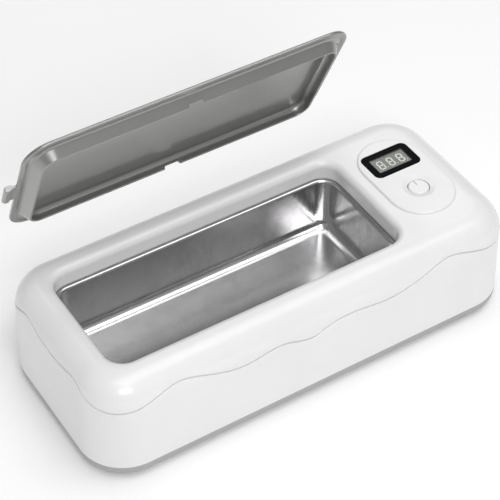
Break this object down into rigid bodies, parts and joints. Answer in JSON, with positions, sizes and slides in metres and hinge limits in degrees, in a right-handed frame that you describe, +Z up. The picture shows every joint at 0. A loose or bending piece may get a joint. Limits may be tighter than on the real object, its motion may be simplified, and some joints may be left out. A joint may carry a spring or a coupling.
{
  "type": "ultrasonic cleaner",
  "caption": "Desktop ultrasonic cleaner with a steel tank in a white case, a control panel with display and power button, and a loose grey lid held open above the tank.",
  "frame": {"origin": "middle of the base cover's flat underside; the four rubber feet reach 1 mm below it", "axes": "+X along the case towards the control panel, +Y to the back, +Z up"},
  "size_m": [0.2, 0.0951, 0.1218],
  "materials": {
    "white_plastic": "smooth white plastic with a soft shine",
    "grey_plastic": "satin grey plastic",
    "lid_grey": "satin grey plastic",
    "rubber": "matt rubber",
    "seal": "translucent silicone",
    "screw_steel": "zinc-plated steel",
    "stainless": "polished stainless steel",
    "inner_plastic": "moulded plastic",
    "epoxy": "cured epoxy",
    "ceramic": "silvered piezo ceramic",
    "black_gloss": "glossy black plastic",
    "lens": "clear acrylic",
    "display": "grey liquid crystal face",
    "circuit_board": "green solder mask",
    "black_plastic": "black moulded plastic",
    "ferrite": "sintered ferrite",
    "winding": "yellow winding tape",
    "copper": "enamelled copper",
    "capacitor": "sleeved aluminium can",
    "film": "dipped film capacitor",
    "aluminium": "anodised aluminium",
    "connector": "nylon",
    "wire_red": "silicone insulation",
    "wire_black": "silicone insulation",
    "ribbon": "grey ribbon cable"
  },
  "bodies": {
    "case": {"upper_shell": "white_plastic", "lower_shell": "white_plastic", "base_cover": "grey_plastic", "foot_front_left": "rubber", "foot_back_left": "rubber", "foot_front_right": "rubber", "foot_back_right": "rubber", "case_screws": "screw_steel", "tank": "stainless", "tank_gasket": "seal", "tank_retainer": "inner_plastic", "tank_screws": "screw_steel", "transducer_bond": "epoxy", "piezo_transducer": "ceramic", "display_bezel": "black_gloss", "display_lens": "lens", "display_module": "display", "display_board": "circuit_board", "display_board_screws": "screw_steel", "tact_switch": "black_plastic", "driver_board": "circuit_board", "driver_screws": "screw_steel", "transformer_core": "ferrite", "transformer_winding": "winding", "inductor_core": "ferrite", "inductor_winding": "copper", "filter_capacitor": "capacitor", "film_capacitor": "film", "control_chip": "black_plastic", "power_transistor": "black_plastic", "heat_sink": "aluminium", "transducer_connector": "connector", "display_connector": "connector", "power_jack": "black_plastic", "jack_pin": "copper", "transducer_lead_red": "wire_red", "transducer_lead_black": "wire_black", "display_cable": "ribbon"},
    "lid": {"lid": "lid_grey"},
    "button": {"power_button": "white_plastic", "switch_plunger": "black_plastic"}
  },
  "joints": [
    {"name": "lid_swing", "type": "hinge", "parent": "case", "child": "lid", "pos_m": [-0.0165, 0.05014, 0.04177], "axis": [-1, 0, 0], "range_deg": [-65, 25]},
    {"name": "power_button_press", "type": "slide", "parent": "case", "child": "button", "axis": [0, 0, -1], "range_m": [0, 0.0006], "stiffness_N_per_m": 2500}
  ]
}
